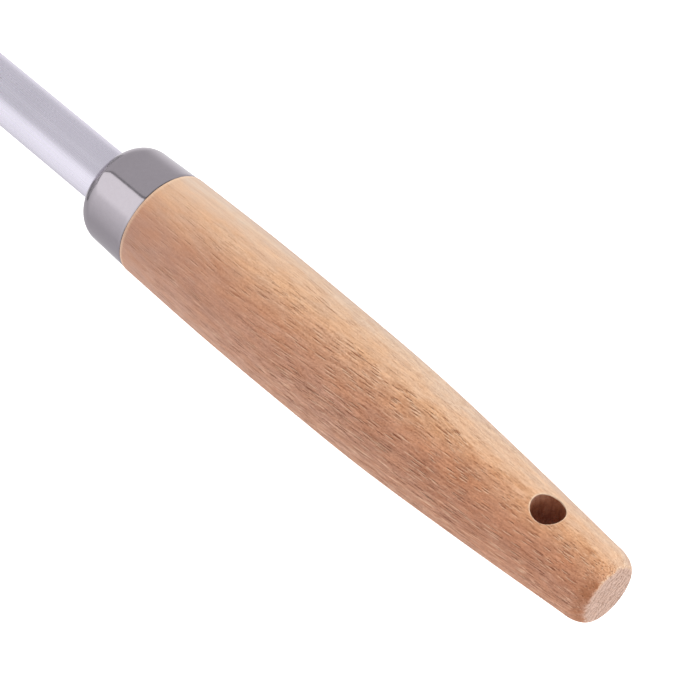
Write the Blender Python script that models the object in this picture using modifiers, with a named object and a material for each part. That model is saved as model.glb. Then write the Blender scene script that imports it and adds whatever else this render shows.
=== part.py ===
"""Beach sand scoop: a perforated stainless basket on a tube shaft with a turned beech grip.

Standalone Blender 4.5 script, in metres, +Z up. The tool lies on its basket floor with the
shaft level. +X runs along the shaft towards the grip's butt, Y = 0 is the plane of symmetry,
and the origin is at floor level, midway between the cutting lip's tip and the butt.
"""

import math

import bmesh
import bpy
from mathutils import Matrix, Vector

MM = 0.001
GAP = 0.3 * MM  # between touching pieces, and round a shank in its hole

# Layout along X
GRIP_LENGTH = 144.5 * MM  # wood that shows, from the ferrule's edge to the butt
NECK_LENGTH = 140 * MM  # from the basket's back to the wood that shows
BASKET_LENGTH = 180 * MM  # from the basket's back to the lip's tip
BUTT_X = (GRIP_LENGTH + NECK_LENGTH + BASKET_LENGTH) / 2
JOINT_X = BUTT_X - GRIP_LENGTH  # where the ferrule meets the wood that shows
BACK_X = JOINT_X - NECK_LENGTH  # the back plate's outer face
AXIS_Z = 60 * MM  # height of the shaft and grip

# Grip: (distance behind the ferrule's edge, radius) of its barrel outline
GRIP_OUTLINE = ((0, 13.85), (28, 14.32), (58, 14.1), (82, 13.5), (110, 11.7), (139, 9.4))
BUTT_FACE_RADIUS = 6.4 * MM  # flat end, inside the butt's rounded edge
GRIP_SEGMENTS = 40
HANG_HOLE_RADIUS = 4.0 * MM
HANG_HOLE_FROM_BUTT = 20.1 * MM

# Ferrule: a drawn cap over the wood's front end
FERRULE_RADIUS = 13.75 * MM
FERRULE_WALL = 1.0 * MM
FERRULE_STRAIGHT = 12 * MM
FERRULE_DOME = 6.0 * MM
FERRULE_NARROWING = 0.5 * MM  # radius lost from the wood to the dome

# Shaft and the tang inside the grip
SHAFT_RADIUS = 7.0 * MM
SHAFT_WALL = 1.5 * MM
SHAFT_IN_WOOD = 20 * MM
TANG_RADIUS = 4.0 * MM
TANG_IN_WOOD = 88 * MM
PLUG_LENGTH = 14 * MM

# Basket: one perforated sheet folded to a U, with a back plate and a solid cutting lip
BASKET_WIDTH = 124 * MM
BEND_RADIUS = 24 * MM  # outer
BEND_SEGMENTS = 5
SHEET = 1.5 * MM
TRAY_LENGTH = 146 * MM
WALL_REAR = 84 * MM
WALL_FRONT = 36 * MM
WALL_LEVEL = 9.5 * MM  # length of the walls' level top at the back
HOLE_FLATS = 11 * MM
HOLE_PITCH = 15 * MM
HOLE_MARGIN = 3 * MM
REAR_BORDER = 8 * MM
BACK_SHEET = 2.0 * MM
RIM_RADIUS = 2.5 * MM
RIM_CORNER = 9 * MM
LIP_SHEET = 2.5 * MM
LIP_SIDE = 5 * MM  # length of the lip at the top of the side walls
LIP_EDGE = 0.24  # share of the sheet's thickness left at the cutting edge

# Bracket that carries the shaft
BRACKET_SHEET = 3 * MM
BRACKET_WIDTH = 52 * MM
BRACKET_BOTTOM = 18 * MM
BRACKET_TOP = 80 * MM
BRACKET_CORNER = 8 * MM
GUSSET_LENGTH = 46 * MM
GUSSET_SHEET = 3 * MM
BOLT_Y = 18 * MM
BOLT_HEIGHTS = (26 * MM, 72 * MM)
BOLT_RADIUS = 2.5 * MM
BOLT_HEAD_RADIUS = 4.75 * MM
BOLT_HEAD = 2.75 * MM
BOLT_SOCKET_RADIUS = 1.6 * MM
NUT_FLATS = 8 * MM
NUT_HEIGHT = 5 * MM
WASHER_RADIUS = 5 * MM
WASHER_SHEET = 1 * MM

ALONG_X = Matrix.Rotation(math.radians(90), 4, "Y")  # local +Z becomes +X


def along(x):
    return Matrix.Translation((x, 0, 0))


def clear_scene():
    for obj in list(bpy.data.objects):
        bpy.data.objects.remove(obj, do_unlink=True)


def new_collection(name):
    collection = bpy.data.collections.new(name)
    bpy.context.scene.collection.children.link(collection)
    return collection


def new_material(name, colour, roughness, metallic):
    material = bpy.data.materials.new(name)
    material.use_nodes = True
    shader = material.node_tree.nodes["Principled BSDF"]
    shader.inputs["Base Color"].default_value = (*colour, 1)
    shader.inputs["Roughness"].default_value = roughness
    shader.inputs["Metallic"].default_value = metallic
    return material


clear_scene()
SCOOP = new_collection("sand_scoop")
CUTTERS = new_collection("cutters")
BEECH = new_material("beech", (0.66, 0.42, 0.25), 0.55, 0)
POLISHED = new_material("polished_steel", (0.56, 0.54, 0.56), 0.2, 1)
BRUSHED = new_material("brushed_steel", (0.78, 0.77, 0.8), 0.35, 1)
BASKET_STEEL = new_material("basket_steel", (0.7, 0.7, 0.71), 0.4, 1)
BLACK_STEEL = new_material("tang_steel", (0.35, 0.34, 0.33), 0.6, 1)
FASTENER = new_material("fastener_steel", (0.72, 0.72, 0.73), 0.3, 1)


def place(data, name, material, matrix=Matrix(), collection=SCOOP):
    obj = bpy.data.objects.new(name, data)
    obj.matrix_world = matrix
    data.materials.append(material)
    collection.objects.link(obj)
    return obj


def as_cutter(obj):
    obj.hide_render = True
    obj.display_type = "WIRE"
    SCOOP.objects.unlink(obj)
    CUTTERS.objects.link(obj)
    return obj


def cut(obj, cutter):
    modifier = obj.modifiers.new(cutter.name, "BOOLEAN")
    modifier.operation = "DIFFERENCE"
    modifier.object = cutter


def smooth_path(knots, steps):
    """Points of a Catmull-Rom curve through knots, steps to each stretch."""
    points = [Vector(k) for k in knots]
    ends = [2 * points[0] - points[1], *points, 2 * points[-1] - points[-2]]
    path = []
    for a, b, c, d in zip(ends, ends[1:], ends[2:], ends[3:]):
        for i in range(steps):
            t = i / steps
            path.append(
                0.5 * (2 * b + t * (c - a) + t * t * (2 * a - 5 * b + 4 * c - d)
                       + t**3 * (3 * b - a - 3 * c + d))
            )
    return [*path, points[-1]]


def arc(centre, radii, start, end, steps):
    """Points of an elliptical arc, from one angle to another in degrees."""
    angles = [math.radians(start + (end - start) * i / steps) for i in range(steps + 1)]
    return [
        Vector((centre[0] + radii[0] * math.cos(a), centre[1] + radii[1] * math.sin(a)))
        for a in angles
    ]


def turned(name, profile, segments, material, matrix):
    """A solid turned about local Z from (radius, height) points, top to bottom on the outside."""
    mesh = bpy.data.meshes.new(name)
    points = [(r, 0, z) for r, z in profile]
    closed = profile[0][0] > 0
    edges = [(i, i + 1) for i in range(len(points) - 1)]
    if closed:
        edges.append((len(points) - 1, 0))
    mesh.from_pydata(points, edges, [])
    obj = place(mesh, name, material, matrix)
    screw = obj.modifiers.new("Turn", "SCREW")
    screw.axis = "Z"
    screw.steps = segments
    screw.render_steps = segments
    screw.use_merge_vertices = True
    screw.merge_threshold = 0.01 * MM
    screw.use_smooth_shade = True
    return obj


def flat_plate(name, outlines, sheet, material, matrix):
    """A plate in local XY, centred on Z = 0. The first outline is its edge, the rest are holes."""
    curve = bpy.data.curves.new(name, "CURVE")
    curve.dimensions = "2D"
    curve.fill_mode = "BOTH"
    curve.extrude = sheet / 2
    for outline in outlines:
        spline = curve.splines.new("POLY")
        spline.points.add(len(outline) - 1)
        for point, (x, y) in zip(spline.points, outline):
            point.co = (x, y, 0, 1)
        spline.use_cyclic_u = True
    return as_mesh(place(curve, name, material, matrix))


def as_mesh(curve_object):
    """The mesh object that a curve object evaluates to, with its caps welded on."""
    bpy.context.view_layer.update()
    graph = bpy.context.evaluated_depsgraph_get()
    mesh = bpy.data.meshes.new_from_object(curve_object.evaluated_get(graph))
    shell = bmesh.new()
    shell.from_mesh(mesh)
    bmesh.ops.remove_doubles(shell, verts=shell.verts, dist=0.01 * MM)
    shell.to_mesh(mesh)
    shell.free()
    name = curve_object.name
    material = curve_object.data.materials[0]
    matrix = curve_object.matrix_world.copy()
    bpy.data.objects.remove(curve_object, do_unlink=True)
    mesh.materials.clear()
    return place(mesh, name, material, matrix)


def wire(name, path, radius, resolution, material):
    """A round rod along a path of points, with flat ends."""
    curve = bpy.data.curves.new(name, "CURVE")
    curve.dimensions = "3D"
    curve.bevel_depth = radius
    curve.bevel_resolution = resolution
    curve.use_fill_caps = True
    spline = curve.splines.new("POLY")
    spline.points.add(len(path) - 1)
    for point, position in zip(spline.points, path):
        point.co = (*position, 1)
    return place(curve, name, material)


def cylinder(name, radius, length, segments, material, matrix):
    mesh = bpy.data.meshes.new(name)
    shell = bmesh.new()
    bmesh.ops.create_cone(
        shell, cap_ends=True, segments=segments, radius1=radius, radius2=radius, depth=length
    )
    shell.to_mesh(mesh)
    shell.free()
    return place(mesh, name, material, matrix)


def hexagon(x, y, flats, turn=0):
    """Corners of a hexagon, its first corner along +X turned by an angle in degrees."""
    radius = flats / math.sqrt(3)
    angles = [math.radians(60 * i + turn) for i in range(6)]
    return [(x + radius * math.cos(a), y + radius * math.sin(a)) for a in angles]


def circle(x, y, radius, steps):
    angles = [math.tau * i / steps for i in range(steps)]
    return [(x + radius * math.cos(a), y + radius * math.sin(a)) for a in angles]


# --- Grip, ferrule and tang, turned about the shaft's axis ---


def grip_axis(x):
    return Matrix.Translation((x, 0, AXIS_Z)) @ ALONG_X


def make_grip():
    seat = FERRULE_RADIUS - FERRULE_WALL - GAP
    seat_end = -FERRULE_STRAIGHT - 1 * MM
    outline = [(r, z) for z, r in smooth_path([(z * MM, r * MM) for z, r in GRIP_OUTLINE], 3)]
    edge_radius, edge_z = outline[-1]
    edge_size = (edge_radius - BUTT_FACE_RADIUS, GRIP_LENGTH - edge_z)
    butt = arc((BUTT_FACE_RADIUS, edge_z), edge_size, 90, 0, 4)
    profile = [
        (0, GRIP_LENGTH),
        *butt[:-1],
        *reversed(outline),
        (seat, 0),
        (seat - FERRULE_NARROWING, seat_end),
        (SHAFT_RADIUS + GAP, seat_end),
        (SHAFT_RADIUS + GAP, SHAFT_IN_WOOD + GAP),
        (TANG_RADIUS + GAP, SHAFT_IN_WOOD + GAP),
        (TANG_RADIUS + GAP, TANG_IN_WOOD + 2 * MM),
        (0, TANG_IN_WOOD + 4 * MM),
    ]
    grip = turned("grip", profile, GRIP_SEGMENTS, BEECH, grip_axis(JOINT_X))
    hole = cylinder(
        "hang_hole_cutter", HANG_HOLE_RADIUS, 40 * MM, 24, BEECH,
        Matrix.Translation((BUTT_X - HANG_HOLE_FROM_BUTT, 0, AXIS_Z)),
    )
    cut(grip, as_cutter(hole))


def ferrule_outline(inset):
    """The ferrule's outside, or its inside at an inset, from the wood to the shaft hole."""
    rear = FERRULE_RADIUS - inset
    front = rear - FERRULE_NARROWING
    hole = SHAFT_RADIUS + GAP
    dome = arc(
        (hole, -FERRULE_STRAIGHT), (front - hole, FERRULE_DOME - inset), 0, -90, 5
    )
    return [(rear, -GAP), *dome]


def make_ferrule():
    outside = ferrule_outline(0)
    inside = ferrule_outline(FERRULE_WALL)
    turned("ferrule", [*outside, *reversed(inside)], GRIP_SEGMENTS, POLISHED, grip_axis(JOINT_X))


def make_tang():
    turned(
        "tang_rod",
        [(0, TANG_IN_WOOD), (TANG_RADIUS - 1 * MM, TANG_IN_WOOD), (TANG_RADIUS, TANG_IN_WOOD - 1 * MM),
         (TANG_RADIUS, SHAFT_IN_WOOD - PLUG_LENGTH - 2 * MM), (0, SHAFT_IN_WOOD - PLUG_LENGTH - 2 * MM)],
        20, BLACK_STEEL, grip_axis(JOINT_X),
    )
    outer = SHAFT_RADIUS - SHAFT_WALL - GAP
    inner = TANG_RADIUS + GAP
    turned(
        "tang_plug",
        [(outer, SHAFT_IN_WOOD), (outer, SHAFT_IN_WOOD - PLUG_LENGTH),
         (inner, SHAFT_IN_WOOD - PLUG_LENGTH), (inner, SHAFT_IN_WOOD)],
        20, BLACK_STEEL, grip_axis(JOINT_X),
    )


# --- Shaft and the bracket that bolts it to the basket ---


def make_shaft():
    front = BACK_X + 2 * GAP + BRACKET_SHEET - JOINT_X
    inner = SHAFT_RADIUS - SHAFT_WALL
    turned(
        "shaft_tube",
        [(SHAFT_RADIUS, SHAFT_IN_WOOD), (SHAFT_RADIUS, front), (inner, front), (inner, SHAFT_IN_WOOD)],
        32, BRUSHED, grip_axis(JOINT_X),
    )


def bolt_places():
    return [(y, z) for z in BOLT_HEIGHTS for y in (-BOLT_Y, BOLT_Y)]


def upright(x):
    """Lays a plate's local X along Y and its local Y along Z, its middle at x."""
    return Matrix(((0, 0, 1, x), (1, 0, 0, 0), (0, 1, 0, 0), (0, 0, 0, 1)))


def rounded_box(half_width, bottom, top, corner):
    outline = []
    middles = (
        (half_width - corner, top - corner, 0),
        (corner - half_width, top - corner, 90),
        (corner - half_width, bottom + corner, 180),
        (half_width - corner, bottom + corner, 270),
    )
    for y, z, start in middles:
        outline += arc((y, z), (corner, corner), start, start + 90, 4)
    return outline


def make_bracket():
    holes = [circle(y, z, BOLT_RADIUS + GAP, 16) for y, z in bolt_places()]
    edge = rounded_box(BRACKET_WIDTH / 2, BRACKET_BOTTOM, BRACKET_TOP, BRACKET_CORNER)
    middle = BACK_X + GAP + BRACKET_SHEET / 2
    flat_plate("bracket_plate", [edge, *holes], BRACKET_SHEET, BRUSHED, upright(middle))


def make_gusset():
    """A web in the plane Y = 0 under the shaft, its free edge hollowed."""
    left = BACK_X + 2 * GAP + BRACKET_SHEET
    top = AXIS_Z - SHAFT_RADIUS - GAP
    bottom = BRACKET_BOTTOM + 3 * MM
    toe = 4 * MM
    hollow = arc(
        (left + GUSSET_LENGTH, bottom), (GUSSET_LENGTH - toe, top - toe - bottom), 90, 180, 8
    )
    outline = [(left, bottom), (left, top), (left + GUSSET_LENGTH, top), *hollow]
    matrix = Matrix(((1, 0, 0, 0), (0, 0, -1, 0), (0, 1, 0, 0), (0, 0, 0, 1)))
    flat_plate("gusset", [outline], GUSSET_SHEET, BRUSHED, matrix)


def make_fasteners():
    """Four button-head bolts, heads inside the basket, with washers and locknuts outside."""
    head_x = BACK_X - BACK_SHEET - GAP
    washer_x = BACK_X + 2 * GAP + BRACKET_SHEET
    nut_x = washer_x + WASHER_SHEET + GAP
    shank_end = nut_x + NUT_HEIGHT + 1.5 * MM - head_x
    crown_size = (BOLT_HEAD_RADIUS - BOLT_SOCKET_RADIUS, BOLT_HEAD)
    crown = arc((BOLT_SOCKET_RADIUS, 0), crown_size, 0, -90, 3)
    socket = [(BOLT_SOCKET_RADIUS, -BOLT_HEAD / 3), (0, -BOLT_HEAD / 3)]
    bolt = [(0, shank_end), (BOLT_RADIUS, shank_end), (BOLT_RADIUS, 0), *crown, *socket]
    hole = BOLT_RADIUS + GAP
    washer = [(WASHER_RADIUS, WASHER_SHEET), (WASHER_RADIUS, 0), (hole, 0), (hole, WASHER_SHEET)]
    nut = [hexagon(0, 0, NUT_FLATS, 30), circle(0, 0, hole, 16)]
    for number, (y, z) in enumerate(bolt_places(), 1):
        middle = Matrix.Translation((0, y, z)) @ ALONG_X
        turned(f"bolt_{number}", bolt, 16, FASTENER, along(head_x) @ middle)
        turned(f"washer_{number}", washer, 16, FASTENER, along(washer_x) @ middle)
        nut_matrix = along(nut_x + NUT_HEIGHT / 2) @ middle
        flat_plate(f"nut_{number}", nut, NUT_HEIGHT, FASTENER, nut_matrix)


# --- Basket ---


def wall_top(x):
    """Height of the side walls' top edge, level at the back and then sloping down."""
    share = max(BACK_X - x - WALL_LEVEL, 0) / (TRAY_LENGTH - WALL_LEVEL)
    return WALL_REAR + (WALL_FRONT - WALL_REAR) * share


def fold(u, inward, sheet):
    """(y, z) of a point of a flat blank folded to the basket's U.

    u runs across the blank along the sheet's middle, and inward is the distance from there
    towards the inside.
    """
    flat = BASKET_WIDTH / 2 - BEND_RADIUS
    middle = BEND_RADIUS - sheet / 2
    run = abs(u) - flat
    if run <= 0:
        return u, sheet / 2 + inward
    angle = min(run / middle, math.pi / 2)
    radius = middle - inward
    y = flat + radius * math.sin(angle)
    z = BEND_RADIUS - radius * math.cos(angle) + max(run - middle * math.pi / 2, 0)
    return math.copysign(y, u), z


def blank_half(x, sheet):
    """Half the width of the flat blank at x."""
    bend = (BEND_RADIUS - sheet / 2) * math.pi / 2
    return BASKET_WIDTH / 2 - BEND_RADIUS + bend + wall_top(x) - BEND_RADIUS


def tray_holes():
    """Hexagons in staggered columns, wherever they fit inside the blank's borders."""
    column = HOLE_PITCH * math.sqrt(3) / 2
    first = BACK_X - REAR_BORDER - HOLE_FLATS / 2
    last = BACK_X - TRAY_LENGTH + HOLE_MARGIN + HOLE_FLATS / 2
    holes = []
    columns = math.ceil(blank_half(BACK_X, SHEET) / column)
    for j in range(-columns, columns + 1):
        x = first - (HOLE_PITCH / 2 if j % 2 else 0)
        while x >= last:
            reach = abs(j) * column + HOLE_FLATS / math.sqrt(3) + HOLE_MARGIN
            if reach <= blank_half(x - HOLE_FLATS / 2, SHEET):
                holes.append(hexagon(j * column, x, HOLE_FLATS))
            x -= HOLE_PITCH
    return holes


def make_tray():
    front = BACK_X - TRAY_LENGTH
    rear_half = blank_half(BACK_X, SHEET)
    front_half = blank_half(front, SHEET)
    knee = BACK_X - WALL_LEVEL
    right = [(front_half, front), (rear_half, knee), (rear_half, BACK_X)]
    edge = [*right, *((-u, x) for u, x in reversed(right))]
    tray = flat_plate("basket_tray", [edge, *tray_holes()], SHEET, BASKET_STEEL, Matrix())
    shell = bmesh.new()
    shell.from_mesh(tray.data)
    flat = BASKET_WIDTH / 2 - BEND_RADIUS
    bend = (BEND_RADIUS - SHEET / 2) * math.pi / 2
    for side in (-1, 1):
        for i in range(BEND_SEGMENTS + 1):
            u = side * (flat + bend * i / BEND_SEGMENTS)
            bmesh.ops.bisect_plane(
                shell, geom=[*shell.verts, *shell.edges, *shell.faces],
                plane_co=(u, 0, 0), plane_no=(1, 0, 0), dist=0.001 * MM,
            )
    for vertex in shell.verts:
        u, x, inward = vertex.co
        vertex.co = (x, *fold(u, inward, SHEET))
    bmesh.ops.recalc_face_normals(shell, faces=shell.faces)
    shell.to_mesh(tray.data)
    shell.free()


def back_holes():
    """Hexagons in the back plate, at the sides of the bracket."""
    holes = []
    column = HOLE_PITCH * math.sqrt(3) / 2
    for side in (-1, 1):
        for j in (0, 1):
            y = side * (37 * MM + j * column)
            z = 21 * MM + (HOLE_PITCH / 2 if j else 0)
            while z + HOLE_FLATS / 2 + HOLE_MARGIN <= WALL_REAR:
                holes.append(hexagon(y, z, HOLE_FLATS))
                z += HOLE_PITCH
    return holes


def make_back_plate():
    inset = SHEET + GAP
    half = BASKET_WIDTH / 2 - inset
    corner = BEND_RADIUS - inset
    bottom = [
        *arc((corner - half, inset + corner), (corner, corner), 180, 270, 6),
        *arc((half - corner, inset + corner), (corner, corner), 270, 360, 6),
    ]
    edge = [(half, WALL_REAR), (-half, WALL_REAR), *bottom]
    bolt_holes = [circle(y, z, BOLT_RADIUS + GAP, 16) for y, z in bolt_places()]
    flat_plate(
        "back_plate", [edge, *bolt_holes, *back_holes()], BACK_SHEET, BASKET_STEEL,
        upright(BACK_X - BACK_SHEET / 2),
    )


def make_rim_wire():
    """One rod bent round the basket's top, down both sloping walls and across the back."""
    side_y = BASKET_WIDTH / 2 - SHEET / 2
    lift = GAP + RIM_RADIUS
    slope = math.atan2(WALL_REAR - WALL_FRONT, TRAY_LENGTH - WALL_LEVEL)
    rear_x = BACK_X - BACK_SHEET / 2
    front_x = BACK_X - TRAY_LENGTH
    knee_x = rear_x - RIM_CORNER
    corner = arc((knee_x, side_y - RIM_CORNER), (RIM_CORNER, RIM_CORNER), 90, 0, 5)
    half = [(front_x, side_y, WALL_FRONT + lift / math.cos(slope))]
    half += [(x, y, WALL_REAR + lift) for x, y in corner]
    mirrored = [(x, -y, z) for x, y, z in reversed(half)]
    wire("rim_wire", [*half, *mirrored], RIM_RADIUS, 2, BASKET_STEEL)


def make_lip():
    """A solid U-shaped band in front of the tray, ground to an edge from the inside."""
    rear = BACK_X - TRAY_LENGTH - GAP
    tip = BACK_X - BASKET_LENGTH
    across, along = 28, 4
    half = blank_half(rear, 0)
    ground = 0.75  # share of the lip's length where the grinding starts
    mesh = bpy.data.meshes.new("cutting_lip")
    shell = bmesh.new()
    bmesh.ops.create_grid(shell, x_segments=across, y_segments=along, size=1)
    weights = {}
    for vertex in shell.verts:
        u = vertex.co.x * half
        share = (1 - vertex.co.y) / 2
        rise = fold(u, 0, 0)[1] / WALL_FRONT
        length = (rear - tip) + (LIP_SIDE - rear + tip) * math.sin(min(rise, 1) * math.pi / 2) ** 1.4
        weights[vertex.index] = 0 if share > ground else 1
        vertex.co = (rear - share * length, *fold(u, 0, 0))
    shell.to_mesh(mesh)
    shell.free()
    lip = place(mesh, "cutting_lip", BASKET_STEEL)
    group = lip.vertex_groups.new(name="full_thickness")
    for index, weight in weights.items():
        group.add([index], weight, "REPLACE")
    solidify = lip.modifiers.new("Sheet", "SOLIDIFY")
    solidify.thickness = LIP_SHEET
    solidify.offset = -1
    solidify.vertex_group = group.name
    solidify.thickness_vertex_group = LIP_EDGE
    solidify.use_even_offset = True


def main():
    make_grip()
    make_ferrule()
    make_tang()
    make_shaft()
    make_bracket()
    make_gusset()
    make_fasteners()
    make_tray()
    make_back_plate()
    make_rim_wire()
    make_lip()


main()
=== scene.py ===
"""Looks of the beach sand scoop: fine meshes, procedural materials, studio light and camera."""

import math

import bmesh
import bpy
from mathutils import Matrix, Vector, noise


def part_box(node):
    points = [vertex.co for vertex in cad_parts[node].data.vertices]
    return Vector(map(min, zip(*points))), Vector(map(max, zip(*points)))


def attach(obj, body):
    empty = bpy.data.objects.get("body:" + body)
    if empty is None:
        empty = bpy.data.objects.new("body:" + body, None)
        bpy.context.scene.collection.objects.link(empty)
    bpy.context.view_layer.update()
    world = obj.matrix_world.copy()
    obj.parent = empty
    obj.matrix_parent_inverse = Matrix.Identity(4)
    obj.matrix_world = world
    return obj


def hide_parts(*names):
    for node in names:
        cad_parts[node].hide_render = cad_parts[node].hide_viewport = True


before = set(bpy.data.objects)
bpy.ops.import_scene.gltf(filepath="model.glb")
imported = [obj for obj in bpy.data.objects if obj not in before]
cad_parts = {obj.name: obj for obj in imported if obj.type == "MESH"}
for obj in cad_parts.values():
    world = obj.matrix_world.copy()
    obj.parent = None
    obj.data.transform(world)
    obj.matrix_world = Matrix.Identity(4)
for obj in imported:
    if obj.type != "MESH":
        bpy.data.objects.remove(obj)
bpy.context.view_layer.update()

MM = 0.001
GAP = 0.3 * MM

# Places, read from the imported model
BUTT_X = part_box("grip")[1].x
JOINT_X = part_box("ferrule")[1].x + GAP
AXIS_Z = (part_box("ferrule")[0].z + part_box("ferrule")[1].z) / 2
BACK_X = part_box("back_plate")[1].x
TRAY_FRONT_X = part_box("basket_tray")[0].x
LIP_TIP_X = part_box("cutting_lip")[0].x

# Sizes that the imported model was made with
GRIP_OUTLINE = ((0, 13.85), (28, 14.32), (58, 14.1), (82, 13.5), (110, 11.7), (139, 9.4))
BUTT_FACE_RADIUS = 6.4 * MM
HANG_HOLE_RADIUS = 4.0 * MM
HANG_HOLE_X = BUTT_X - 20.1 * MM
FERRULE_RADIUS = 13.75 * MM
FERRULE_WALL = 1.0 * MM
FERRULE_STRAIGHT = 12 * MM
FERRULE_DOME = 6.0 * MM
FERRULE_NARROWING = 0.5 * MM
SHAFT_RADIUS = 7.0 * MM
SHAFT_WALL = 1.5 * MM
SHAFT_IN_WOOD = 20 * MM
TANG_RADIUS = 4.0 * MM
TANG_IN_WOOD = 88 * MM
BASKET_WIDTH = 124 * MM
BEND_RADIUS = 24 * MM
SHEET = 1.5 * MM
TRAY_LENGTH = BACK_X - TRAY_FRONT_X
WALL_REAR = 84 * MM
WALL_FRONT = 36 * MM
WALL_LEVEL = 9.5 * MM
HOLE_FLATS = 11 * MM
HOLE_PITCH = 15 * MM
HOLE_MARGIN = 3 * MM
REAR_BORDER = 8 * MM
BACK_SHEET = 2.0 * MM
RIM_RADIUS = 2.5 * MM
RIM_CORNER = 9 * MM
LIP_SHEET = 2.5 * MM
LIP_SIDE = 5 * MM
BRACKET_SHEET = 3 * MM
BRACKET_WIDTH = 52 * MM
BRACKET_BOTTOM = 18 * MM
BRACKET_TOP = 80 * MM
BRACKET_CORNER = 8 * MM
GUSSET_LENGTH = 46 * MM
GUSSET_SHEET = 3 * MM
BOLT_Y = 18 * MM
BOLT_HEIGHTS = (26 * MM, 72 * MM)
BOLT_RADIUS = 2.5 * MM
BOLT_HEAD_RADIUS = 4.75 * MM
BOLT_HEAD = 2.75 * MM
NUT_FLATS = 8 * MM
NUT_HEIGHT = 5 * MM
WASHER_RADIUS = 5 * MM
WASHER_SHEET = 1 * MM

# Places that several pieces share
BRACKET_FACE_X = BACK_X + 2 * GAP + BRACKET_SHEET
UNDER_SHAFT_Z = AXIS_Z - SHAFT_RADIUS
FLAT_HALF = BASKET_WIDTH / 2 - BEND_RADIUS
SIDE_Y = BASKET_WIDTH / 2 - SHEET / 2
RIM_LIFT = GAP + RIM_RADIUS


# --- Nodes ---


class Graph:
    """Adds nodes to a material or the world. A socket given as a value is linked."""

    def __init__(self, tree):
        self.tree = tree

    def add(self, kind, inputs=None, **settings):
        node = self.tree.nodes.new("ShaderNode" + kind)
        for name, value in settings.items():
            setattr(node, name, value)
        for key, value in (inputs or {}).items():
            self.feed(node.inputs[key], value)
        return node

    def feed(self, socket, value):
        if isinstance(value, bpy.types.NodeSocket):
            self.tree.links.new(value, socket)
        elif value is not None:
            socket.default_value = value

    def math(self, operation, a, b=None, c=None, clamp=False):
        node = self.add("Math", operation=operation, use_clamp=clamp)
        for socket, value in zip(node.inputs, (a, b, c)):
            self.feed(socket, value)
        return node.outputs[0]

    def times(self, a, b, clamp=False):
        return self.math("MULTIPLY", a, b, clamp=clamp)

    def minus(self, a, b, clamp=False):
        return self.math("SUBTRACT", a, b, clamp=clamp)

    def plus(self, a, b):
        return self.math("ADD", a, b)

    def times_plus(self, a, b, c):
        return self.math("MULTIPLY_ADD", a, b, c)

    def step(self, value, low, high):
        """0 below low, 1 above high, smooth between."""
        node = self.add("MapRange", {0: value, 1: low, 2: high}, interpolation_type="SMOOTHSTEP")
        return node.outputs[0]

    def fall(self, value, low, high):
        """1 below low, 0 above high, smooth between."""
        return self.minus(1.0, self.step(value, low, high))

    def band(self, value, low, full, fade, high):
        """1 between full and fade, 0 below low and above high."""
        return self.minus(self.step(value, low, full), self.step(value, fade, high))

    def range(self, value, low, high, to_low, to_high):
        return self.add("MapRange", {0: value, 1: low, 2: high, 3: to_low, 4: to_high}).outputs[0]

    def xyz(self, vector):
        return self.add("SeparateXYZ", {0: vector}).outputs

    def vector(self, x, y, z):
        return self.add("CombineXYZ", {0: x, 1: y, 2: z}).outputs[0]

    def scale(self, vector, factors):
        node = self.add("VectorMath", {0: vector, 1: factors}, operation="MULTIPLY")
        return node.outputs[0]

    def noise(self, vector, scale=1.0, detail=2.0, roughness=0.5):
        inputs = {"Vector": vector, "Scale": scale, "Detail": detail, "Roughness": roughness}
        return self.add("TexNoise", inputs).outputs[0]

    def cells(self, vector, scale=1.0):
        return self.add("TexVoronoi", {"Vector": vector, "Scale": scale}).outputs[0]

    def mix(self, factor, a, b, blend="MIX"):
        node = self.add("Mix", data_type="RGBA", blend_type=blend)
        self.feed(node.inputs[0], factor)
        self.feed(node.inputs[6], a if isinstance(a, bpy.types.NodeSocket) else (*a, 1))
        self.feed(node.inputs[7], b if isinstance(b, bpy.types.NodeSocket) else (*b, 1))
        return node.outputs[2]

    def tint(self, colour, by, share=1.0):
        """The colour multiplied by another one."""
        return self.mix(share, colour, by, blend="MULTIPLY")

    def finish(self, shader, colour, roughness, normal):
        for name, value in zip(("Base Color", "Roughness", "Normal"), (colour, roughness, normal)):
            self.feed(shader.inputs[name], value)

    def ramp(self, factor, stops):
        """A colour ramp through (position, linear colour) stops."""
        node = self.add("ValToRGB", {0: factor})
        elements = node.color_ramp.elements
        elements[0].position = stops[0][0]
        elements[1].position = stops[-1][0]
        for position, _ in stops[1:-1]:
            elements.new(position)
        for element, (_, colour) in zip(elements, stops):
            element.color = (*colour, 1)
        return node.outputs[0]

    def attribute(self, name):
        return self.add("Attribute", attribute_name=name).outputs["Fac"]

    def bump(self, height, distance):
        return self.add("Bump", {"Strength": 1.0, "Distance": distance, "Height": height}).outputs[0]


def new_material(name, **constants):
    """A material with a Principled shader, whose constant inputs are set on its own sockets."""
    material = bpy.data.materials.new(name)
    material.use_nodes = True
    shader = material.node_tree.nodes["Principled BSDF"]
    for key, value in constants.items():
        shader.inputs[key.replace("_", " ")].default_value = value
    return material, Graph(material.node_tree), shader


def millimetres(graph, origin=(0, 0, 0)):
    """Object coordinates in millimetres from a point given in metres."""
    place = graph.add("TexCoord").outputs["Object"]
    node = graph.add(
        "VectorMath",
        {0: place, 1: (1000, 1000, 1000), 2: tuple(-1000 * v for v in origin)},
        operation="MULTIPLY_ADD",
    )
    return node.outputs[0]


def linear(text):
    """Linear colour of six hexadecimal digits."""
    values = [int(text[i:i + 2], 16) / 255 for i in (0, 2, 4)]
    return tuple(v / 12.92 if v <= 0.04045 else ((v + 0.055) / 1.055) ** 2.4 for v in values)


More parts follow.
